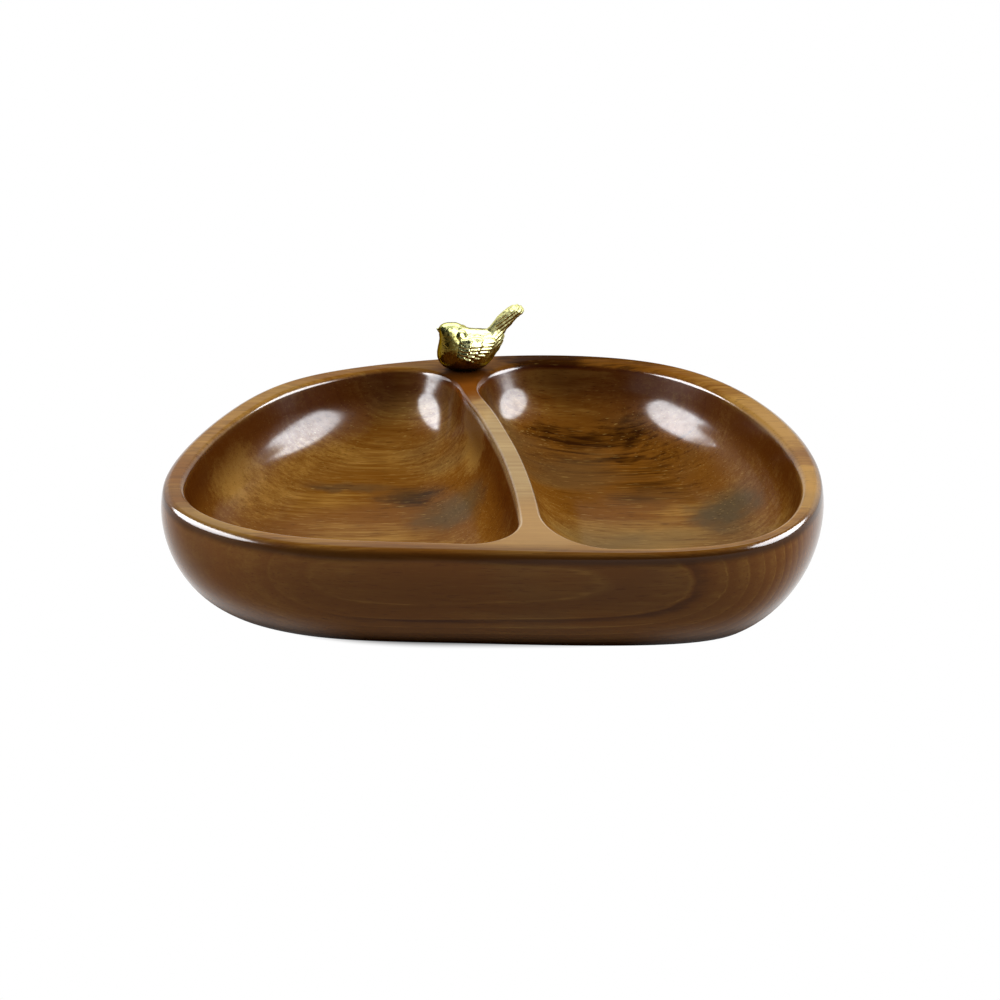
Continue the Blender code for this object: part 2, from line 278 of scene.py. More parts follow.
def spline(points, count, closed=False, guide=2):
    """Cubic spline through the points, read at count even places. Its knots follow the square roots of the
    chords in the first guide columns. A closed line is run on past its ends so that it closes smoothly."""
    points = np.array(points, dtype=float)
    lap = 4 if closed else 0
    if closed:
        points = np.vstack([points[-lap:], points, points[:lap + 1]])
    chords = np.linalg.norm(np.diff(points[:, :guide], axis=0), axis=1)
    knots = np.concatenate([[0.0], np.cumsum(np.sqrt(chords))])
    step = np.diff(knots)
    slope = np.diff(points, axis=0) / step[:, None]
    size = len(points)
    system = np.eye(size)
    bend = np.zeros_like(points)
    for k in range(1, size - 1):
        system[k, k - 1:k + 2] = (step[k - 1], 2 * (step[k - 1] + step[k]), step[k])
        bend[k] = 6 * (slope[k] - slope[k - 1])
    bend = np.linalg.solve(system, bend)
    last = size - 1 - lap
    places = np.linspace(knots[lap], knots[last], count, endpoint=not closed)
    span = np.clip(np.searchsorted(knots, places, side="right") - 1, 0, size - 2)
    ahead = ((places - knots[span]) / step[span])[:, None]
    behind = 1 - ahead
    curl = (behind ** 3 - behind) * bend[span] + (ahead ** 3 - ahead) * bend[span + 1]
    return behind * points[span] + ahead * points[span + 1] + curl * (step[span] ** 2)[:, None] / 6


def left_normals(line):
    """Unit normals to the left of a closed line's travel."""
    along = np.roll(line, -1, axis=0) - np.roll(line, 1, axis=0)
    along = along / np.linalg.norm(along, axis=1)[:, None]
    return np.stack([-along[:, 1], along[:, 0]], axis=1)


def nearest_on(points, line, closed):
    """For each point its distance to the line, positive on the left of travel, and the place on the line, as
    a share of its readings."""
    ends = np.roll(line, -1, axis=0) if closed else line[1:]
    starts = line if closed else line[:-1]
    along = ends - starts
    reach = points[:, None] - starts
    part = np.clip((reach * along).sum(-1) / (along ** 2).sum(-1), 0, 1)
    away = reach - along * part[..., None]
    distance = np.linalg.norm(away, axis=-1)
    nearest = distance.argmin(axis=1)
    rows = np.arange(len(points))
    across = along[nearest, 0] * away[rows, nearest, 1] - along[nearest, 1] * away[rows, nearest, 0]
    return distance[rows, nearest] * np.sign(across), (nearest + part[rows, nearest]) / len(starts)


class Plan:
    """The dish from above: its widest line, the rim's width along it, and the divider's middle line."""

    def __init__(self):
        half = np.array([DISH_LENGTH, DISH_DEPTH]) / 2
        read = spline(OUTLINE_SHARES, OUTLINE_SIDES, closed=True)
        low = read[:, :2].min(axis=0)
        high = read[:, :2].max(axis=0)
        self.outline = (2 * read[:, :2] - low - high) / (high - low) * half
        self.inward = left_normals(self.outline)
        self.rim = read[:, 2] * RIM_WIDTH
        self.crown = read[:, 2:] * CROWN_SHARE
        self.divider = spline(np.array(DIVIDER_SHARES) * half, DIVIDER_READINGS)
        self.half = half

    def wall_ring(self, inset, height):
        spread = self.crown if height > WIDEST_HEIGHT else 1
        return self.outline + self.inward * inset * spread

    def room(self, points, side, depth, margin, back_corner, front_corner):
        """Positive inside a pocket at a depth, widened by a margin. The side is -1 for the left pocket and 1
        for the right one. Two edges meet in a corner whose radius is the same at every depth."""
        to_wall, place = nearest_on(points, self.outline, closed=True)
        rim = np.interp(place * len(self.rim), np.arange(len(self.rim) + 1), np.append(self.rim, self.rim[0]))
        from_rim = to_wall - rim - pocket_inset(depth, rim * RIM_EDGE_SHARE) + margin
        to_divider, share = nearest_on(points, self.divider, closed=False)
        width = DIVIDER_BACK_WIDTH + (DIVIDER_FRONT_WIDTH - DIVIDER_BACK_WIDTH) * share
        from_divider = to_divider * side - width / 2 - pocket_inset(depth, DIVIDER_EDGE) + margin
        corner = back_corner + (front_corner - back_corner) * share
        short = np.hypot(np.maximum(corner - from_rim, 0), np.maximum(corner - from_divider, 0))
        both_near = (from_rim < corner) & (from_divider < corner)
        return np.where(both_near, corner - short, np.minimum(from_rim, from_divider))

    def pocket_ring(self, side, middle, depth, margin, corners):
        """Edge of a pocket at a depth: rays go out from its middle, and halving finds where each one ends."""
        angles = np.arange(POCKET_SIDES) * math.tau / POCKET_SIDES
        rays = np.stack([np.cos(angles), np.sin(angles)], axis=1)
        near = np.zeros(POCKET_SIDES)
        far = np.full(POCKET_SIDES, self.half.sum())
        for _ in range(HALVINGS):
            halfway = (near + far) / 2
            inside = self.room(middle + rays * halfway[:, None], side, depth, margin, *corners) > 0
            near = np.where(inside, halfway, near)
            far = np.where(inside, far, halfway)
        return middle + rays * near[:, None]


def arc_points(centre, radius, start, end, steps):
    """Points (inset, height) on an arc, by the angle up from the outward direction."""
    angles = [start + (end - start) * k / steps for k in range(steps + 1)]
    return [(centre[0] - radius * math.cos(a), centre[1] + radius * math.sin(a)) for a in angles]


def wall_profile():
    """Section of the outer wall from the foot to the rim, as (inset from the widest line, height). The foot
    and rim fillets are tangent to the wall's arc from inside."""
    radius = (WALL_TUCK ** 2 + WIDEST_HEIGHT ** 2) / (2 * WALL_TUCK)

    def fillet_centre(fillet, height):
        reach = radius - fillet
        rise = height - WIDEST_HEIGHT
        return (radius - math.sqrt(reach ** 2 - rise ** 2), height), math.asin(rise / reach)

    foot, foot_angle = fillet_centre(FOOT_FILLET, FOOT_FILLET)
    rim, rim_angle = fillet_centre(RIM_FILLET, DISH_HEIGHT - RIM_FILLET)
    quarter = math.pi / 2
    points = [(foot[0] + FLAT_MARGIN, foot[1] - FOOT_FILLET)]
    points += arc_points(foot, FOOT_FILLET, -quarter, foot_angle, FOOT_STEPS)
    points += arc_points((radius, WIDEST_HEIGHT), radius, foot_angle, rim_angle, WALL_STEPS)[1:]
    points += arc_points(rim, RIM_FILLET, rim_angle, quarter, RIM_STEPS)[1:]
    points.append((rim[0] + FLAT_MARGIN, DISH_HEIGHT))
    return points


def pocket_inset(depth, edge):
    """How far inside its edge line a pocket's wall lies at a depth. At the top a part of an ellipse, as wide as
    the edge, rounds it off. Below it the wall is straight, and a cove leads it into the floor."""
    lean = math.tan(WALL_DRAFT)
    turn = np.arccos(np.clip(1 - depth / EDGE_DROP, 0, 1))
    last_turn = np.arctan2(edge, EDGE_DROP * lean)
    shift = EDGE_DROP * (1 - np.cos(last_turn)) * lean - edge * np.sin(last_turn)
    inset = np.where(turn < last_turn, shift + edge * np.sin(turn), depth * lean)
    rise = 1 - (POCKET_DEPTH - depth) / COVE_RADIUS
    if rise <= math.sin(WALL_DRAFT):
        return inset
    cove_inset = (COVE_RADIUS + math.sin(WALL_DRAFT) * (POCKET_DEPTH - COVE_RADIUS)) / math.cos(WALL_DRAFT)
    return cove_inset - COVE_RADIUS * math.sqrt(1 - rise ** 2)


def pocket_levels():
    """Depth and margin of a pocket's rings from the rim to the floor's edge."""
    quarter = math.pi / 2
    levels = [(0.0, FLAT_MARGIN)]
    levels += [(EDGE_DROP * (1 - math.cos(quarter * k / EDGE_STEPS)), 0.0) for k in range(EDGE_STEPS + 1)]
    for k in range(COVE_STEPS + 1):
        turn = WALL_DRAFT + (quarter - FLOOR_SLOPE - WALL_DRAFT) * k / COVE_STEPS
        levels.append((POCKET_DEPTH - COVE_RADIUS * (1 - math.sin(turn)), 0.0))
    return levels


def at_height(ring, height):
    return [(x, y, height) for x, y in ring]


def carve_pocket(bm, plan, side, middle_shares, corners):
    """Adds the skin of one pocket and returns its top ring, which lies in the rim's plane."""
    middle = np.array(middle_shares) * plan.half
    rings = []
    for depth, margin in pocket_levels():
        edge = plan.pocket_ring(side, middle, depth, margin, corners)
        rings.append(add_ring(bm, at_height(edge, DISH_HEIGHT - depth)))
    reach = np.linalg.norm(edge - middle, axis=1).mean()
    fall = math.tan(FLOOR_SLOPE) * reach / 2
    for k in range(1, FLOOR_RINGS):
        share = 1 - k / FLOOR_RINGS
        floor = middle + (edge - middle) * share
        rings.append(add_ring(bm, at_height(floor, DISH_HEIGHT - depth - fall * (1 - share ** 2))))
    join_all(bm, rings)
    fan(bm, rings[-1], bm.verts.new((*middle, DISH_HEIGHT - depth - fall)))
    return rings[0]


def ring_edges(bm, ring):
    return [bm.edges.get((ring[k], ring[(k + 1) % len(ring)])) for k in range(len(ring))]


def make_dish(finish):
    """The block: outer skin, flat underside, two pockets, and the rim's flat top between them."""
    plan = Plan()
    bm = bmesh.new()
    outer = bm.verts.layers.float.new("outer")
    outside = bm.verts.layers.float.new("outside")
    wall = [add_ring(bm, at_height(plan.wall_ring(inset, height), height)) for inset, height in wall_profile()]
    join_all(bm, wall)
    for ring in wall:
        for vertex in ring:
            vertex[outer] = min(1.0, (DISH_HEIGHT - vertex.co.z) / RIM_FILLET)
            vertex[outside] = 1.0
    bm.faces.new(wall[0])
    left = carve_pocket(bm, plan, -1, LEFT_MIDDLE_SHARES, LEFT_CORNERS)
    right = carve_pocket(bm, plan, 1, RIGHT_MIDDLE_SHARES, RIGHT_CORNERS)
    borders = ring_edges(bm, wall[-1]) + ring_edges(bm, left) + ring_edges(bm, right)
    bmesh.ops.triangle_fill(bm, use_beauty=True, use_dissolve=False, edges=borders)
    return object_from(bm, "walnut_dish", finish)


# Bird: its own drawing, in millimetres from the middle of its seat. It faces -X, and Z is up.
MM = 0.001

# Side view of the body, from the brow to the root of the tail: top point, bottom point and half width
BODY_SECTIONS = [
    (-12.0, 20.9, -12.0, 20.2, 0.5),
    (-11.6, 21.5, -11.7, 19.3, 1.4),
    (-11.0, 22.1, -11.8, 17.8, 2.6),
    (-9.3, 22.8, -11.9, 15.9, 4.0),
    (-6.4, 23.1, -12.3, 13.1, 5.2),
    (-2.8, 22.7, -13.0, 9.6, 6.4),
    (0.2, 20.9, -13.0, 6.2, 7.8),
    (4.0, 20.0, -11.5, 3.0, 8.7),
    (7.0, 19.8, -8.1, 0.5, 9.0),
    (9.6, 19.8, -3.0, -0.4, 8.9),
    (11.4, 20.0, 3.6, -0.4, 8.3),
    (12.7, 20.3, 9.8, 1.7, 7.2),
    (13.4, 20.9, 14.8, 7.8, 5.7),
    (14.0, 21.8, 18.0, 13.4, 4.2),
    (15.2, 23.4, 18.9, 17.2, 3.2),
]
BODY_RINGS = 60
BODY_SIDES = 64

# Raised tail, from its root to its tip: middle, half thickness and half width. Then the angle that it rises at,
# where the body turns into it, and the spacing and depth of its grooves.
TAIL_SECTIONS = [
    (13.2, 17.8, 3.2, 2.8),
    (16.2, 20.9, 3.7, 3.2),
    (18.2, 23.6, 3.7, 3.4),
    (21.2, 26.9, 3.4, 3.8),
    (24.3, 29.2, 2.8, 4.0),
    (26.4, 30.1, 1.9, 3.7),
    (27.5, 30.2, 0.6, 2.6),
]
TAIL_RISE = math.radians(40)
TAIL_SQUARENESS = 0.8
TAIL_ROOT = (14.0, 17.0)
TAIL_GROOVE = 1.5
TAIL_GROOVE_DEPTH = 0.20
TAIL_RINGS = 34
TAIL_SIDES = 40

HEAD_MIDDLE = (-6.9, 0.0, 17.4)
HEAD_RADII = (5.2, 5.2, 5.2)
CHEEK_MIDDLE = (-7.4, 2.6, 15.6)
CHEEK_RADII = (3.4, 2.7, 2.9)
BEAK_ROOT = (-10.2, 0.0, 18.8)
BEAK_TIP = (-13.3, 0.0, 20.3)
BEAK_RADIUS = 2.3
BEAK_POINT_RADIUS = 0.12
EYE_MIDDLE = (-5.8, 4.0, 20.2)
EYE_RADIUS = 0.85
NAPE_MIDDLE = (-1.6, 3.4, 17.2)
NAPE_RADII = (3.6, 3.5, 3.6)
RUMP_MIDDLE = (14.4, 0.0, 19.5)
RUMP_RADII = (3.8, 3.0, 2.4)
SHOULDER_MIDDLE = (4.6, 5.2, 14.2)
SHOULDER_RADII = (7.4, 4.9, 3.7)

# Feathers of a wing by row: how many, where the first and the last one start and end (x, z), their widths,
# and how far a tip stands off the flank
FEATHER_ROWS = [
    (7, (-1.0, 9.8), (0.5, 17.2), (4.6, 6.9), (14.9, 16.4), 3.2, 1.15),
    (6, (-2.2, 9.8), (-0.6, 17.0), (3.0, 8.2), (8.8, 17.0), 3.0, 1.75),
    (5, (-3.2, 10.2), (-1.8, 16.6), (0.4, 9.4), (3.8, 17.0), 2.8, 2.2),
]
FEATHER_BOW = 2.6
FEATHER_THICKNESS = 0.55
FEATHER_STEPS = 16
FEATHER_ACROSS = 8

# Shares of a feather's length and width: where its round tip starts, its least width, its width at the root and
# how fast it widens from there, the spread of its quill, and how much of the tip's lift the root has
TIP_START = 0.72
LEAST_WIDTH = 0.10
ROOT_WIDTH = 0.45
WIDENING = 1.4
QUILL_SPREAD = 0.2
ROOT_LIFT = 0.25

# How high the quill is, and how deep in the flank the feather's underside lies
QUILL_HEIGHT = 0.18
UNDERSIDE_DEPTH = 1.2

# How far the middle feathers of a wing reach past the others, and how much further the high ones stand off
WING_BULGE = 0.24
WING_LIFT = 0.22

# Rays that look for the flank start well outside the body. Where one misses, this stands for the flank.
FLANK_START = 30.0
FLANK_LEAST = 0.5

# Fineness of the cast skin; its grain, as waves to a millimetre and height; and the share of it on the body
CASTING_VOXEL = 0.26 * MM
CAST_GRAIN = ((0.8, 0.20), (2.1, 0.09))
BODY_GRAIN = 0.45


def ellipse_ring(section, sides):
    """Ellipse between a section's top and bottom points."""
    top_x, top_z, bottom_x, bottom_z, half_width = section
    turns = np.arange(sides) * math.tau / sides
    lift = (1 + np.cos(turns)) / 2
    x = bottom_x + (top_x - bottom_x) * lift
    z = bottom_z + (top_z - bottom_z) * lift
    return np.stack([x, half_width * np.sin(turns), np.maximum(z, 0.0)], axis=1)


def closed_loft(bm, rings):
    """Skin over rings of points, closed by a flat face at both ends."""
    rings = [add_ring(bm, ring) for ring in rings]
    join_all(bm, rings)
    bm.faces.new(rings[0])
    bm.faces.new(rings[-1])


def tail_ring(section):
    """Rounded slab across the tail, square to the way that it rises."""
    x, z, half_thick, half_width = section
    turns = np.arange(TAIL_SIDES) * math.tau / TAIL_SIDES
    across = np.sign(np.sin(turns)) * np.abs(np.sin(turns)) ** TAIL_SQUARENESS * half_width
    over = np.sign(np.cos(turns)) * np.abs(np.cos(turns)) ** TAIL_SQUARENESS * half_thick
    return np.stack([x - over * math.sin(TAIL_RISE), across, z + over * math.cos(TAIL_RISE)], axis=1)


def ball(bm, middle, radii):
    """Ellipsoid."""
    place = Matrix.Translation(middle) @ Matrix.Diagonal((*radii, 1.0))
    bmesh.ops.create_uvsphere(bm, u_segments=32, v_segments=20, radius=1.0, matrix=place)


def beak(bm):
    """Short cone whose tip points a little upward."""
    root = Vector(BEAK_ROOT)
    reach = Vector(BEAK_TIP) - root
    turn = reach.to_track_quat("Z", "Y").to_matrix().to_4x4()
    place = Matrix.Translation(root + reach / 2) @ turn
    bmesh.ops.create_cone(bm, cap_ends=True, segments=24, radius1=BEAK_RADIUS, radius2=BEAK_POINT_RADIUS,
                          depth=reach.length, matrix=place)


def feather(bm, flank, side, start, end, width, stand_off):
    """One feather, laid on the flank from start to end: a thin shell with a round tip that stands off it. Its
    rows run along it by s, and their points across it by t."""
    start = np.array(start)
    end = np.array(end)
    along = (end - start) / np.linalg.norm(end - start)
    perp = np.array([-along[1], along[0]])
    outer = []
    inner = []
    for i in range(FEATHER_STEPS + 1):
        s = i / FEATHER_STEPS
        in_tip = max(0.0, (s - TIP_START) / (1 - TIP_START))
        round_end = math.sqrt(max(0.0, 1 - in_tip ** 2))
        half = width / 2 * max(LEAST_WIDTH, round_end) * min(1.0, ROOT_WIDTH + WIDENING * s)
        middle = start + (end - start) * s - perp * FEATHER_BOW * s * (1 - s)
        lift = stand_off * (ROOT_LIFT + (1 - ROOT_LIFT) * s)
        outer_row = []
        inner_row = []
        for j in range(FEATHER_ACROSS + 1):
            t = 2 * j / FEATHER_ACROSS - 1
            x, z = middle + perp * half * t
            y = flank(x, z)
            crown = FEATHER_THICKNESS * (1 - t * t) + QUILL_HEIGHT * math.exp(-(t / QUILL_SPREAD) ** 2)
            outer_row.append(bm.verts.new((x, side * (y + lift + crown), z)))
            inner_row.append(bm.verts.new((x, side * (y - UNDERSIDE_DEPTH), z)))
        outer.append(outer_row)
        inner.append(inner_row)
    for i in range(FEATHER_STEPS):
        for j in range(FEATHER_ACROSS):
            for rows in (outer, inner):
                bm.faces.new((rows[i][j], rows[i + 1][j], rows[i + 1][j + 1], rows[i][j + 1]))
        for j in (0, FEATHER_ACROSS):
            bm.faces.new((outer[i][j], outer[i + 1][j], inner[i + 1][j], inner[i][j]))
    for j in range(FEATHER_ACROSS):
        for i in (0, FEATHER_STEPS):
            bm.faces.new((outer[i][j], outer[i][j + 1], inner[i][j + 1], inner[i][j]))


def wing(bm, flank, side):
    """Rows of feathers from the long ones below to the short ones over the shoulder."""
    for count, low_start, high_start, low_end, high_end, width, stand_off in FEATHER_ROWS:
        for k in range(count):
            share = k / (count - 1)
            start = [a + (b - a) * share for a, b in zip(low_start, high_start)]
            end = [a + (b - a) * share for a, b in zip(low_end, high_end)]
            end[0] += WING_BULGE * math.sin(math.pi * share) * (high_end[0] - low_end[0])
            feather(bm, flank, side, start, end, width, stand_off + WING_LIFT * share)


def cast_form():
    """All forms of the bird in one mesh of closed shells, in millimetres."""
    bm = bmesh.new()
    sections = spline(BODY_SECTIONS, BODY_RINGS, guide=4)
    closed_loft(bm, [ellipse_ring(section, BODY_SIDES) for section in sections])
    body = BVHTree.FromBMesh(bm)

    def flank(x, z):
        hit = body.ray_cast(Vector((x, FLANK_START, z)), Vector((0.0, -1.0, 0.0)))[0]
        return hit.y if hit else FLANK_LEAST

    closed_loft(bm, [tail_ring(section) for section in spline(TAIL_SECTIONS, TAIL_RINGS)])
    ball(bm, HEAD_MIDDLE, HEAD_RADII)
    ball(bm, RUMP_MIDDLE, RUMP_RADII)
    beak(bm)
    for side in (-1, 1):
        for middle, radii in ((CHEEK_MIDDLE, CHEEK_RADII), (SHOULDER_MIDDLE, SHOULDER_RADII),
                              (NAPE_MIDDLE, NAPE_RADII), (EYE_MIDDLE, (EYE_RADIUS,) * 3)):
            ball(bm, (middle[0], middle[1] * side, middle[2]), radii)
        wing(bm, flank, side)
    bmesh.ops.recalc_face_normals(bm, faces=bm.faces)
    return bm


def make_bird(finish):
    """Casts the forms into one skin on the seat, smooths it and works the tail's grooves and the grain in."""
    low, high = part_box("bird_pin")
    seat = Vector(((low[0] + high[0]) / 2, (low[1] + high[1]) / 2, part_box("bird_figurine")[0][2]))
    bm = cast_form()
    for vertex in bm.verts:
        vertex.co = vertex.co * MM + seat
    rough = object_from(bm, "gilt_bird", finish)
    skin = rough.modifiers.new("cast", "REMESH")
    skin.mode = "VOXEL"
    skin.voxel_size = CASTING_VOXEL
    ease = rough.modifiers.new("ease", "SMOOTH")
    ease.factor = 0.5
    ease.iterations = 2
    bpy.context.view_layer.update()
    graph = bpy.context.evaluated_depsgraph_get()
    mesh = bpy.data.meshes.new_from_object(rough.evaluated_get(graph))
    rough.modifiers.clear()
    rough.data = mesh
    chase(mesh, seat)
    mesh.shade_smooth()
    return rough


def chase(mesh, seat):
    """Grooves of the tail and cast grain: moves each point of the skin a little along its normal."""
    places = np.empty(len(mesh.vertices) * 3)
    normals = np.empty(len(mesh.vertices) * 3)
    mesh.vertices.foreach_get("co", places)
    mesh.vertices.foreach_get("normal", normals)
    places = places.reshape(-1, 3)
    normals = normals.reshape(-1, 3)
    inner = (places - np.array(seat)) / MM
    grain = np.array([sum(noise.noise(Vector(p) * waves) * height for waves, height in CAST_GRAIN) for p in inner])
    on_tail = np.interp(inner[:, 0], TAIL_ROOT, (0.0, 1.0))
    across = inner[:, 2] * math.cos(TAIL_RISE) - inner[:, 0] * math.sin(TAIL_RISE)
    grain *= BODY_GRAIN + on_tail * (1 - BODY_GRAIN)
    grain += on_tail * TAIL_GROOVE_DEPTH * np.sin(across * math.tau / TAIL_GROOVE)
    places += normals * (grain * MM)[:, None]
    mesh.vertices.foreach_set("co", places.ravel())


# Wood: the rings run round a pith line in front of the front wall, which leaves the wall towards the right
PITH_DISTANCE = 0.2195
PITH_SLANT = 0.054
PITH_HEIGHT = 0.038
RING_SPACING = 0.00375
RING_PHASE = 0.40
RING_WANDER = 0.060
RING_LIFT = 0.036
WOOD_DARK = (0.030, 0.0088, 0.0010)
WOOD_MIDDLE = (0.165, 0.060, 0.0060)
WOOD_LIGHT = (0.360, 0.185, 0.034)
WOOD_GREY = (0.090, 0.062, 0.028)
WOOD_PALE = (0.400, 0.250, 0.105)
STEEP_WALL_SHADE = (0.036, 0.0040, 0.0002)
WALL_BROWN = (0.210, 0.086, 0.040)
UNDER_EDGE_SHADOW = (0.042, 0.013, 0.001)
LIP_HIGHLIGHT = (0.62, 0.46, 0.30)
PAINTED_SHEEN = (0.70, 0.66, 0.60)
DIVIDER_SHEEN = (0.41, 0.30, 0.15)
NECK_GOLD_REFLECTION = (0.150, 0.040, 0.001)
PORE_LIGHT = (0.48, 0.30, 0.080)

# Places where the lacquer is thin: worn at the back of the rim, and thinned around the bird's seat, where the rim
# also gets a painted shadow of the bird
WORN_MIDDLE = (0.060, 0.106, 0.050)
WORN_RADII = (0.050, 0.018, 0.012)
SEAT_MIDDLE = (-0.0155, 0.081, 0.052)
SEAT_RADII = (0.020, 0.014, 0.010)

# Between which heights the flat tops, the painted shade of the foot, the painted shadow under the edge and the
# painted highlight on the lip begin or end; between which places along Y the front side ends and the inside of the
# block begins; and between which places along X the figure of the outer wall grows
FLAT_TOPS = (0.0475, 0.0500)
FOOT_SHADE = (0.0, 0.013)
UNDER_EDGE_SHADOW_TOP = (0.0455, 0.0487)
LIP_HIGHLIGHT_FOOT = (0.0492, 0.0500)
FRONT_SIDE = (-0.090, -0.055)
INSIDE_BLOCK = (-0.09, 0.0)
FIGURE_GROWS = (-0.11, -0.01)

# How far a cloud's edge is pushed in and out, to make it ragged
RAGGED_REACH = (0.012, 0.006, 0.004)

# Clouds in the colour of the wood: middle and radii on the block, how much darker, and how much greyer. One whose
# middle is in the rim's plane marks only the flat tops, and any other one all but the outer wall. Rows marked
# below are painted light or shade.
CLOUDS = [
    ((-0.040, 0.020, 0.018), (0.018, 0.013, 0.014), 0.40, 0.3),
    ((-0.022, -0.004, 0.024), (0.024, 0.018, 0.016), 0.10, 0.8),
    ((-0.068, 0.030, 0.016), (0.022, 0.006, 0.012), 0.22, 0.5),
    ((0.048, 0.076, 0.024), (0.040, 0.012, 0.014), 0.34, 0.0),
    ((0.056, 0.060, 0.018), (0.030, 0.003, 0.010), 0.28, 0.0),
    ((0.050, 0.060, 0.024), (0.072, 0.050, 0.024), 0.30, 0.0),
    ((0.104, 0.000, 0.020), (0.020, 0.020, 0.018), 0.16, 0.9),
    ((0.070, 0.020, 0.018), (0.030, 0.014, 0.014), 0.14, 0.2),
    ((-0.090, 0.020, 0.018), (0.030, 0.026, 0.020), -0.15, 0.0),
    ((-0.060, -0.030, 0.018), (0.036, 0.026, 0.016), -0.24, 0.15),
    ((-0.118, 0.008, 0.034), (0.020, 0.026, 0.014), -0.50, 0.0),
    ((-0.010, 0.028, 0.042), (0.010, 0.026, 0.016), -0.75, 0.20),
    ((0.002, -0.040, 0.034), (0.012, 0.026, 0.014), 0.36, 0.0),
    ((0.060, -0.030, 0.018), (0.050, 0.030, 0.014), -0.22, 0.4),
    # Painted reflection: the rim's flat top lighter at its right end
    ((0.134, -0.045, 0.052), (0.014, 0.034, 0.010), -0.40, 0.0),
    # Painted shade: the divider's top darker in front of and below the bird
    ((-0.020, 0.062, 0.052), (0.016, 0.030, 0.010), 0.20, 0.0),
    ((-0.118, -0.080, 0.050), (0.030, 0.018, 0.010), -0.50, 0.0),
    ((0.040, 0.102, 0.052), (0.060, 0.030, 0.012), 0.66, 0.0),
    # Painted shadow of the bird around its seat
    (SEAT_MIDDLE, SEAT_RADII, 0.90, 0.0),
    ((0.018, 0.100, 0.052), (0.024, 0.014, 0.010), 0.40, 0.0),
    # Painted reflection: the rim's flat tops lighter along the right side and along the left and back-left
    ((0.118, 0.030, 0.052), (0.036, 0.060, 0.010), -0.50, 0.1),
    ((-0.110, 0.035, 0.052), (0.050, 0.075, 0.010), -0.32, 0.1),
]

# Rings of a branch that ended in the back wall of the right pocket
SWIRL_MIDDLE = (0.045, 0.085, 0.036)
SWIRL_RADII = (0.025, 0.034, 0.034)
SWIRL_RINGS = 3.4
SWIRL_DARKNESS = 0.11

# The divider's top: a painted sheen along its length, a painted orange reflection of the gilt bird in painted
# shade at its neck below the bird, and pale wood where it runs out into the front rim
DIVIDER_MIDDLE = (0.006, -0.006, 0.052)
DIVIDER_RADII = (0.034, 0.072, 0.012)
NECK_MIDDLE = (-0.011, 0.070, 0.052)
NECK_RADII = (0.018, 0.026, 0.012)
PALE_MIDDLE = (0.018, -0.084, 0.052)
PALE_RADII = (0.052, 0.034, 0.010)

# Gilt plating: painted light on top, painted shade below, and a browner painted shade on the face; and the pin's
# steel
GILT_TINT = (0.35, 0.28, 0.10)
GILT_LIT = (0.92, 0.90, 0.44)
GILT_SHADED = (0.29, 0.19, 0.032)
GILT_SHADED_PALE = (0.41, 0.30, 0.06)
FACE_LIT = (0.56, 0.60, 0.18)
FACE_SHADED = (0.13, 0.08, 0.012)
STEEL_DARK = (0.42, 0.42, 0.42)
STEEL_LIGHT = (0.62, 0.61, 0.60)

# Studio: how far the floor reaches and how far under the dish it lies, how square the shadow's patch on it is,
# how far off the lamps stand, and the colour of the cards that a gloss shows, a little cooler than the lamps
FLOOR_REACH = 6.0
FLOOR_DROP = 0.0002
SHADOW_SQUARENESS = 3.0
LAMP_DISTANCE = 1.3
WHITE = (1.0, 1.0, 1.0, 1.0)
CARD_COLOUR = (0.93, 0.96, 1.0)


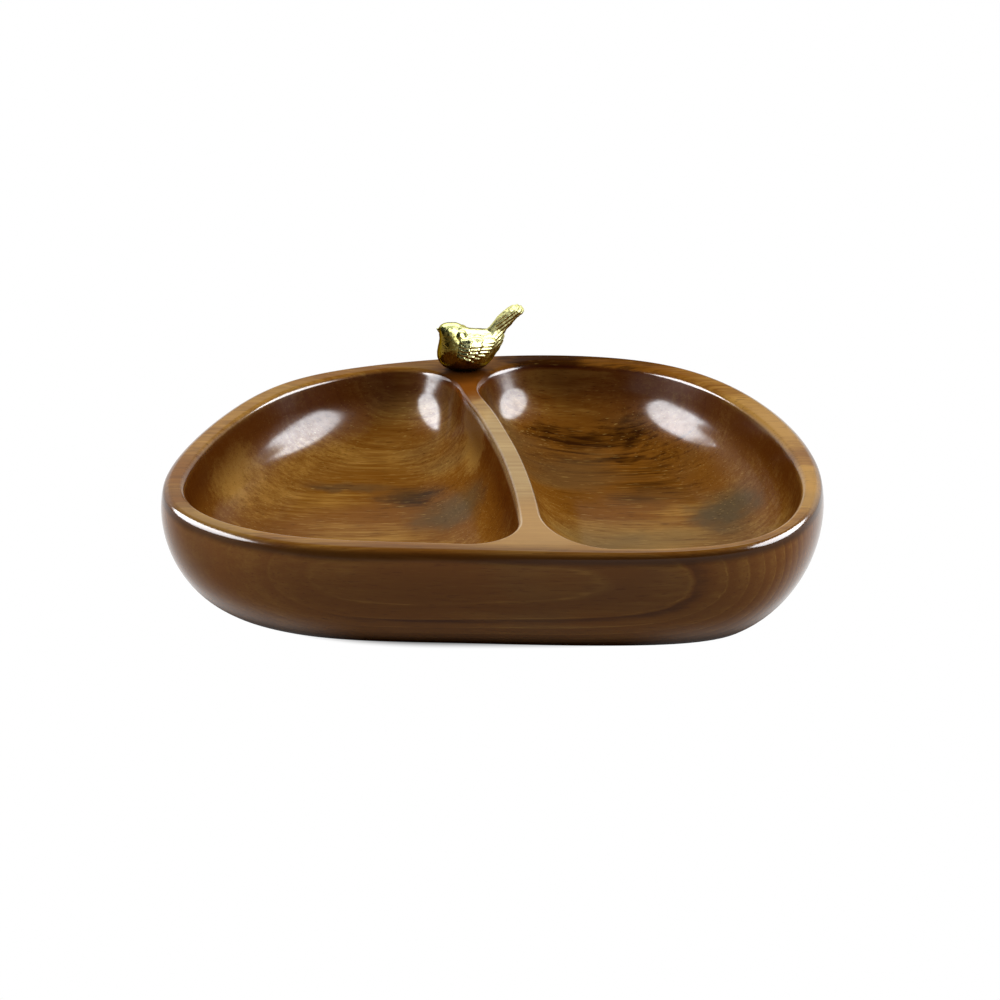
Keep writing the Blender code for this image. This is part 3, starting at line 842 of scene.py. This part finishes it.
class Walnut(Finish):
    """Stained solid wood whose rings, fibres and pores run through the block, under clear gloss lacquer. Two
    values stored on the skin tell where the outer wall is: outside on all of it, and outer below the rounding
    of the rim. The others that the marks share say whether a face is steep or turned down a little, whether it
    is one of the flat tops, whether it is at the front, and how far it is inward of the front wall."""

    def __init__(self):
        super().__init__("lacquered_walnut", Coat_Roughness=0.15, Coat_IOR=1.5, Specular_IOR_Level=0.0)
        self.at = self.place()
        self.x, self.y, self.z = self.parts(self.at)
        self.outer = self.attribute("outer")
        self.outside = self.attribute("outside")
        normal = self.node("ShaderNodeNewGeometry", {}, output="Normal")
        self.steep = 1 - self.parts(normal)[2].math("ABSOLUTE")
        self.facing = self.node("ShaderNodeLayerWeight", {}, output="Facing")
        self.turned = self.steep.ramp(0.01, 0.08)
        self.raised = self.z.ramp(*FLAT_TOPS)
        self.in_front = self.y.ramp(*FRONT_SIDE, 1.0, 0.0)
        self.inward = self.y.ramp(*INSIDE_BLOCK, 0.08, 1.0)
        self.fibre = self.grain(14.0, 420.0, 3.0, 0.6) - 0.5
        self.fine = self.grain(40.0, 1300.0, 2.0, 0.6) - 0.5
        self.bend = self.grain(9.0, 40.0) - 0.5
        self.cloud = self.grain(22.0, 45.0) - 0.5
        blot = self.noise(self.at, 90.0, output="Color")
        reach = tuple(2 * half for half in RAGGED_REACH)
        ragged = self.node("ShaderNodeVectorMath", {"operation": "MULTIPLY_ADD"}, blot, reach, self.at)
        self.ragged = self.node("ShaderNodeVectorMath", {"operation": "SUBTRACT"}, ragged, RAGGED_REACH)

    def grain(self, along, across, detail=2.0, roughness=0.5):
        """Noise drawn out along the wood: how fine it is along X, and across it."""
        return self.noise(self.stretched(self.at, along, across, across), 1.0, detail, roughness)

    def reach_from(self, start, middle, radii):
        """How far out of an ellipsoid's middle a place lies, one on its skin."""
        offset = self.node("ShaderNodeVectorMath", {"operation": "SUBTRACT"}, start, middle)
        reach = self.stretched(offset, *(1 / radius for radius in radii))
        return self.node("ShaderNodeVectorMath", {"operation": "LENGTH"}, reach, output="Value")

    def within(self, middle, radii):
        """One at a cloud's middle, zero beyond its ragged edge."""
        return self.reach_from(self.ragged, middle, radii).ramp(0.2, 1.2, 1.0, 0.0)

    def ring_count(self):
        """Number of growth rings between the pith line and a place. Inside the block they wander."""
        wander = self.noise(self.stretched(self.at, 0.5, 1.0, 1.0), 11.0) - 0.5
        lift = self.noise(self.stretched(self.at, 0.6, 1.3, 1.3), 17.0) - 0.5
        across = self.y + self.x * PITH_SLANT + PITH_DISTANCE + wander * self.inward * RING_WANDER
        above = self.z - PITH_HEIGHT + lift * self.inward * RING_LIFT
        radius = (across * across + above * above) ** 0.5
        return radius / RING_SPACING + RING_PHASE + self.fibre * 0.25 + self.bend * (self.inward * 1.4 + 0.1)

    def rings(self):
        """How much the late wood of the rings darkens a place, and how much the line before each one lightens
        it. On the outer wall both grow towards the right."""
        count = self.ring_count()
        ring = count.math("FRACT")
        late = ring.ramp(0.0, 0.10) * ring.ramp(0.12, 0.75, 1.0, 0.0)
        strength = self.noise(self.point(count.math("FLOOR") * 0.73, 0.0, 0.0), 1.0, 0.0)
        fade = self.grain(11.0, 20.0, 1.0).ramp(0.36, 0.62)
        some = fade * self.inward + (1 - self.inward)
        dark = late * strength.ramp(0.35, 0.72, 0.10, 0.52) * (some * 0.8 + 0.2) * (1 - self.raised * 0.5)
        dark = dark * (0.34 + self.outer * self.x.ramp(*FIGURE_GROWS, -0.22, 0.71))
        dashes = self.grain(45.0, 240.0, 1.0).ramp(0.50, 0.62)
        line = ring.ramp(0.90, 0.97) * ring.ramp(0.97, 1.0, 1.0, 0.0) * dashes.ramp(0.0, 1.0, 0.35, 1.0)
        return dark, line * some * (0.07 + self.outer * self.x.ramp(*FIGURE_GROWS, 0.02, 0.25))

    def swirl(self):
        """How much the soft rings of the branch end darken a place."""
        reach = self.reach_from(self.at, SWIRL_MIDDLE, SWIRL_RADII)
        turn = (reach * SWIRL_RINGS + self.bend * 0.9 + self.cloud * 0.45 + self.fibre * 0.2).math("FRACT")
        rings = turn.ramp(0.0, 0.30) * turn.ramp(0.35, 1.0, 1.0, 0.0)
        rings = rings * reach.ramp(0.55, 0.85) * reach.ramp(1.0, 1.6, 1.0, 0.0)
        rings = rings * self.x.ramp(0.015, 0.050, 0.2, 1.0)
        return rings * (1 - self.raised) * (1 - self.outer) * SWIRL_DARKNESS

    def clouds(self):
        """How much darker and how much greyer the clouds make a place, with the branch end's rings."""
        darker = 0.0
        greyer = 0.0
        for middle, radii, dark, grey in CLOUDS:
            inside = self.within(middle, radii) * (self.raised if middle[2] == DISH_HEIGHT else 1 - self.outer)
            darker = inside * dark + darker
            greyer = inside * grey + greyer
        return self.swirl() + darker, greyer

    def bare_wood(self):
        """Colour of the wood itself, with its rings, fibres, clouds and pores."""
        rings, lines = self.rings()
        darker, greyer = self.clouds()
        broad = self.grain(9.0, 12.0) - 0.5
        varied = self.cloud * 0.8 + broad * 0.7 + self.fibre * 0.6 + self.fine * 0.4
        tone = 0.64 + varied * (1 - self.outer * 0.35) - darker - rings + lines
        colour = self.blend(tone.ramp(0.0, 0.5), WOOD_DARK, WOOD_MIDDLE)
        colour = self.blend(tone.ramp(0.5, 1.1), colour, WOOD_LIGHT)
        shade = self.noise(self.stretched(self.at, 9.0, 17.0, 17.0), 1.3)
        grey = (shade.ramp(0.54, 0.72, 0.0, 0.4) + greyer).math("MINIMUM", 0.9)
        colour = self.blend(grey, colour, WOOD_GREY)
        pores = self.grain(110.0, 1700.0, 1.0)
        glint = (0.4 - self.outer * 0.3 - self.raised * 0.2).math("MAXIMUM", 0.0)
        colour = self.blend(pores.ramp(0.66, 0.76) * glint, colour, PORE_LIGHT)
        return self.blend(pores.ramp(0.28, 0.36, 0.5, 0.0), colour, WOOD_DARK)

    def toned_with_painted_shading(self, colour):
        """Painted shade on the steep walls and at the foot, the outer wall's brown tone, and a painted shadow just
        under the rim's rounded outer edge. The rounded inner edge of the front rim gets a painted pale highlight."""
        # Painted shade: steep walls darker than the floors, and the outer wall darker too
        steep_shade = self.steep.ramp(0.15, 0.9, 0.0, 0.80) - self.outer * 0.45
        colour = self.blend(steep_shade, colour, self.blend(self.outer, STEEP_WALL_SHADE, WOOD_DARK))
        colour = self.blend(self.outer * 0.30, colour, WALL_BROWN)
        # Painted shade: darker towards the foot
        colour = self.blend(self.z.ramp(*FOOT_SHADE, 0.8, 0.0), colour, WOOD_DARK)
        # Painted shadow just under the rim's rounded outer edge, all round, reaching a little further up in front
        near_edge = (self.outside * self.in_front * 0.30 + self.outer * 1.3).math("MINIMUM", 1.0)
        under_edge = near_edge * (self.z + self.cloud * 0.0030).ramp(*UNDER_EDGE_SHADOW_TOP)
        colour = self.blend(under_edge * 0.86, colour, UNDER_EDGE_SHADOW)
        # Painted highlight along the rounded inner edge of the front rim
        lip = self.steep.ramp(0.01, 0.06) * (1 - self.outer.ramp(0.0, 0.05))
        lip = lip * self.z.ramp(*LIP_HIGHLIGHT_FOOT) * self.in_front
        return self.blend(lip * 0.80, colour, LIP_HIGHLIGHT)

    def top_marks_and_painted_light(self, colour):
        """Marks on the flat tops: a painted pale sheen at the front and at the back on the left, a painted sheen
        along the divider's top between a painted orange reflection of the gilt bird below it and its pale front
        end, and a painted shadow of the bird around its seat."""
        # Painted reflection: a pale sheen on the flat tops, at the front and at the back on the left
        sheen_share = self.y.ramp(0.02, 0.07, 0.06, 0.0) + self.y.ramp(0.02, 0.07) * self.x.ramp(-0.02, 0.02, 0.045, 0.0)
        colour = self.blend(self.raised * (1 - self.turned) * sheen_share, colour, PAINTED_SHEEN)
        # Painted sheen along the divider's top, weaker on its sloping sides as painted shade
        painted_top_light = self.raised * self.within(DIVIDER_MIDDLE, DIVIDER_RADII).ramp(0.05, 0.75)
        painted_top_light = painted_top_light * (1 - self.steep.ramp(0.05, 0.40, 0.0, 0.5))
        colour = self.blend(painted_top_light * (0.64 + self.fibre * 0.8 + self.cloud * 0.5), colour, DIVIDER_SHEEN)
        # Painted orange reflection of the gilt bird, in painted shade, on the divider's top just below the bird
        neck = self.raised * self.within(NECK_MIDDLE, NECK_RADII).ramp(0.05, 0.95)
        colour = self.blend(neck * 0.90, colour, NECK_GOLD_REFLECTION)
        # Painted shadow of the bird around its seat
        colour = self.blend(self.raised * self.within(SEAT_MIDDLE, SEAT_RADII) * 0.85, colour, WOOD_DARK)
        pale = self.within(PALE_MIDDLE, PALE_RADII) * self.z.ramp(0.0500, 0.0515) * self.y.ramp(-0.107, -0.099)
        return self.blend(pale * 0.62, colour, WOOD_PALE)

    def bowl_lacquer(self):
        """Weight of the clear coat in the pockets: streaky, and less where it is seen at a low angle."""
        streaks = 1 + self.fibre * 0.8 + self.fine * 0.8
        level = self.steep.ramp(0.02, 0.15, 0.08, 0.0)
        wall = self.steep.ramp(0.12, 0.32) * self.facing.ramp(0.30, 0.60, 0.34, 0.0)
        return (0.28 + level + wall) * (1 - self.facing.ramp(0.40, 0.75) * 0.8) * streaks

    def shell_lacquer(self):
        """Weight of the clear coat on the rim and the outer wall: it shows on the turned edges, and on the
        wall only where it is seen at a low angle above the foot."""
        ends = self.x.math("ABSOLUTE").ramp(0.050, 0.085)
        low_end = self.z.ramp(0.004, 0.018) * ends + self.z.ramp(0.016, 0.030) * (1 - ends)
        grazing = self.facing.ramp(0.6, 0.95) * (1 - self.outer)
        grazing = grazing + self.facing.ramp(0.40, 0.86) * self.outer * low_end
        skin = (self.turned * 0.84 + 0.10) * (1 - self.outer * self.outer * 0.9) * (1 - grazing)
        skin = skin + grazing * self.turned
        return skin * (self.z.ramp(0.002, 0.018) * (1 - ends) + ends)

    def lacquer(self):
        """Weight of the clear coat: thin from wear at the back of the rim, and thinned around the bird's seat
        under the painted shadow there.
        """
        shell = (self.raised + self.outer).math("MINIMUM", 1.0)
        thinned = self.within(WORN_MIDDLE, WORN_RADII) + self.within(SEAT_MIDDLE, SEAT_RADII)
        whole = self.bowl_lacquer() * (1 - shell) + self.shell_lacquer() * shell
        return whole * (1 - thinned.math("MINIMUM", 1.0) * 0.85)

    def finished(self):
        colour = self.top_marks_and_painted_light(self.toned_with_painted_shading(self.bare_wood()))
        rough = 0.30 + self.fibre * 0.14 + self.fine * 0.10
        height = self.noise(self.at, 55.0) * 0.6 + self.fibre * 0.05 + self.fine * 0.02
        bump = self.bump(height, 0.0004, 0.25)
        return self.feed(Base_Color=colour, Roughness=rough, Coat_Weight=self.lacquer(), Normal=bump)


def gilt():
    """Gold-coloured plating over a lightly rough casting, with painted light on upward faces and painted shade on
    downward ones. The head and breast are painted browner and darker as shade, and the tail has a satin face."""
    gold = Finish("gilt_casting", Metallic=1.0, Specular_Tint=(*GILT_TINT, 1.0))
    low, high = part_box("bird_pin")
    place = gold.place()
    along = (gold.parts(place)[0] - (low[0] + high[0]) / 2) / MM
    cloud = gold.noise(place, 260.0, 3.0)
    grain = gold.noise(place, 1900.0, 2.0)
    normal = gold.node("ShaderNodeNewGeometry", {}, output="Normal")
    # Painted light and shade: upward faces and the back get the lit gold, downward faces the shaded gold, and the
    # face and breast a darker painted shade
    painted_top_light = (gold.parts(normal)[2] + along.ramp(-6.0, 4.0, -0.30, 0.20) + (cloud - 0.5) * 0.5).ramp(-0.05, 0.55)
    shaded_gold = gold.blend(cloud.ramp(0.3, 0.7), GILT_SHADED, GILT_SHADED_PALE)
    shaded_gold = gold.blend(along.ramp(-6.0, 0.0, 0.7, 0.0), shaded_gold, FACE_SHADED)
    lit_gold = gold.blend(along.ramp(-6.0, 3.0, 0.6, 0.0), GILT_LIT, FACE_LIT)
    colour = gold.blend(painted_top_light, shaded_gold, lit_gold)
    rough = 0.18 + cloud.ramp(0.3, 0.8, 0.0, 0.14) + along.ramp(8.0, 14.0, 0.0, 0.22)
    return gold.feed(Base_Color=colour, Roughness=rough, Normal=gold.bump(cloud * 0.5 + grain * 0.2, 0.0003, 0.35))


def brushed_steel():
    """Plain steel with fine turning lines."""
    steel = Finish("brushed_steel", Metallic=1.0)
    lines = steel.noise(steel.stretched(steel.place(), 300.0, 300.0, 9000.0), 1.0)
    colour = steel.blend(lines.ramp(0.3, 0.7), STEEL_DARK, STEEL_LIGHT)
    return steel.feed(Base_Color=colour, Roughness=0.28 + lines * 0.16)


def paper_white():
    """Floor: white paper, lit near the dish so that it keeps the shadow, and plain white further out."""
    paper = Finish("paper_white", Roughness=0.9, Specular_IOR_Level=0.0)
    place = paper.place()
    x, y = paper.parts(place)[:2]
    x = (x / (DISH_LENGTH / 2)).math("ABSOLUTE")
    y = (y / (DISH_DEPTH / 2)).math("ABSOLUTE")
    away = ((x ** SHADOW_SQUARENESS + y ** SHADOW_SQUARENESS) ** (1 / SHADOW_SQUARENESS)).ramp(0.77, 0.84)
    seen, mirrored = paper.rays()
    shown = seen.math("MAXIMUM", mirrored)
    shade = shown * 0.55 + paper.noise(place, 900.0) * 0.03 + 0.43
    paper.feed(Base_Color=paper.node("ShaderNodeCombineColor", {}, shade, shade, shade))
    glow = paper.node("ShaderNodeEmission", {}, WHITE, 1.0)
    mixed = paper.node("ShaderNodeMixShader", {}, away * shown, Wire(paper, paper.shader.outputs[0]), glow)
    end = paper.tree.nodes["Material Output"]
    paper.tree.links.new(mixed.socket, end.inputs["Surface"])
    return paper.material


def make_floor():
    bm = bmesh.new()
    bmesh.ops.create_grid(bm, x_segments=1, y_segments=1, size=FLOOR_REACH)
    floor = object_from(bm, "paper_floor", paper_white())
    floor.location.z = -FLOOR_DROP


def make_world():
    """A white studio. Straight on it is white. A gloss shows two white screens low down behind the dish, with
    a gap between them, and a dark room elsewhere. The light that it gives comes mostly from behind."""
    world = bpy.data.worlds.new("studio")
    bpy.context.scene.world = world
    world.use_nodes = True
    world.node_tree.nodes.clear()
    studio = Nodes(world.node_tree)
    way = studio.node("ShaderNodeTexCoord", {}, output="Generated")
    x, y, z = studio.parts(way)
    seen, mirrored = studio.rays()
    light = y.ramp(-0.25, 0.75, 0.01, 0.45)
    gap = x.math("ABSOLUTE").ramp(0.08, 0.15, 0.10, 1.0).math("MAXIMUM", z.ramp(0.25, 0.38))
    shine = y.ramp(0.40, 0.75, 0.03, 1.0) * z.ramp(0.30, 0.66, 1.0, 0.05) * gap
    strength = light * (1 - mirrored) + shine * mirrored
    strength = strength * (1 - seen) + seen
    ground = studio.node("ShaderNodeBackground", {}, WHITE, strength)
    end = studio.tree.nodes.new("ShaderNodeOutputWorld")
    studio.tree.links.new(ground.socket, end.inputs["Surface"])


def panel(name, bearing, height, width, tall, power, only=None):
    """Area lamp that faces the dish. Its bearing in degrees is 0 on the camera's side and grows to the right,
    and its height is in degrees too. It lights the scene, or, with a piece given, it is an elliptical white
    card that only this piece shows in its gloss."""
    card = only is not None
    lamp = bpy.data.lights.new(name, "AREA")
    lamp.shape = "ELLIPSE" if card else "RECTANGLE"
    lamp.size = width
    lamp.size_y = tall
    lamp.energy = power
    lamp.color = CARD_COLOUR if card else WHITE[:3]
    made = bpy.data.objects.new(name, lamp)
    made.visible_diffuse = not card
    made.visible_glossy = card
    bearing = math.radians(bearing)
    height = math.radians(height)
    way = Vector((math.sin(bearing) * math.cos(height), -math.cos(bearing) * math.cos(height), math.sin(height)))
    made.location = way * LAMP_DISTANCE
    made.rotation_euler = way.to_track_quat("Z", "Y").to_euler()
    bpy.context.scene.collection.objects.link(made)
    if card:
        group = bpy.data.collections.new(f"{name}_receivers")
        group.objects.link(only)
        made.light_linking.receiver_collection = group


def make_lights(dish, bird):
    panel("right_lamp", 84, 40, 0.9, 1.0, 18.5)
    panel("right_card", 90, 27, 1.42, 0.90, 70.0, only=dish)
    panel("left_lamp", -84, 40, 0.9, 1.0, 18.5)
    panel("left_card", -86, 25, 1.50, 0.98, 95.0, only=dish)
    panel("bird_room_card", 0, 12, 2.6, 1.6, 3.4, only=bird)
    panel("bird_front_card", 28, 50, 1.2, 1.9, 24.0, only=bird)
    panel("bird_back_card", 180, 55, 1.8, 1.2, 14.0, only=bird)


def make_camera():
    camera = bpy.data.objects.new("camera", bpy.data.cameras.new("camera"))
    camera.data.lens = CAMERA_LENS
    camera.location = CAMERA_PLACE
    camera.rotation_euler = (math.pi / 2 - CAMERA_TILT, 0.0, 0.0)
    bpy.context.scene.collection.objects.link(camera)
    bpy.context.scene.camera = camera


def dress(piece, node):
    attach(piece, "root")
    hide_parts(node)


bpy.context.scene.view_settings.view_transform = "Standard"
make_camera()
make_world()
make_floor()
dish = make_dish(Walnut().finished())
dress(dish, "dish_body")
bird = make_bird(gilt())
dress(bird, "bird_figurine")
make_lights(dish, bird)
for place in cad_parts["bird_pin"].material_slots:
    place.material = brushed_steel()
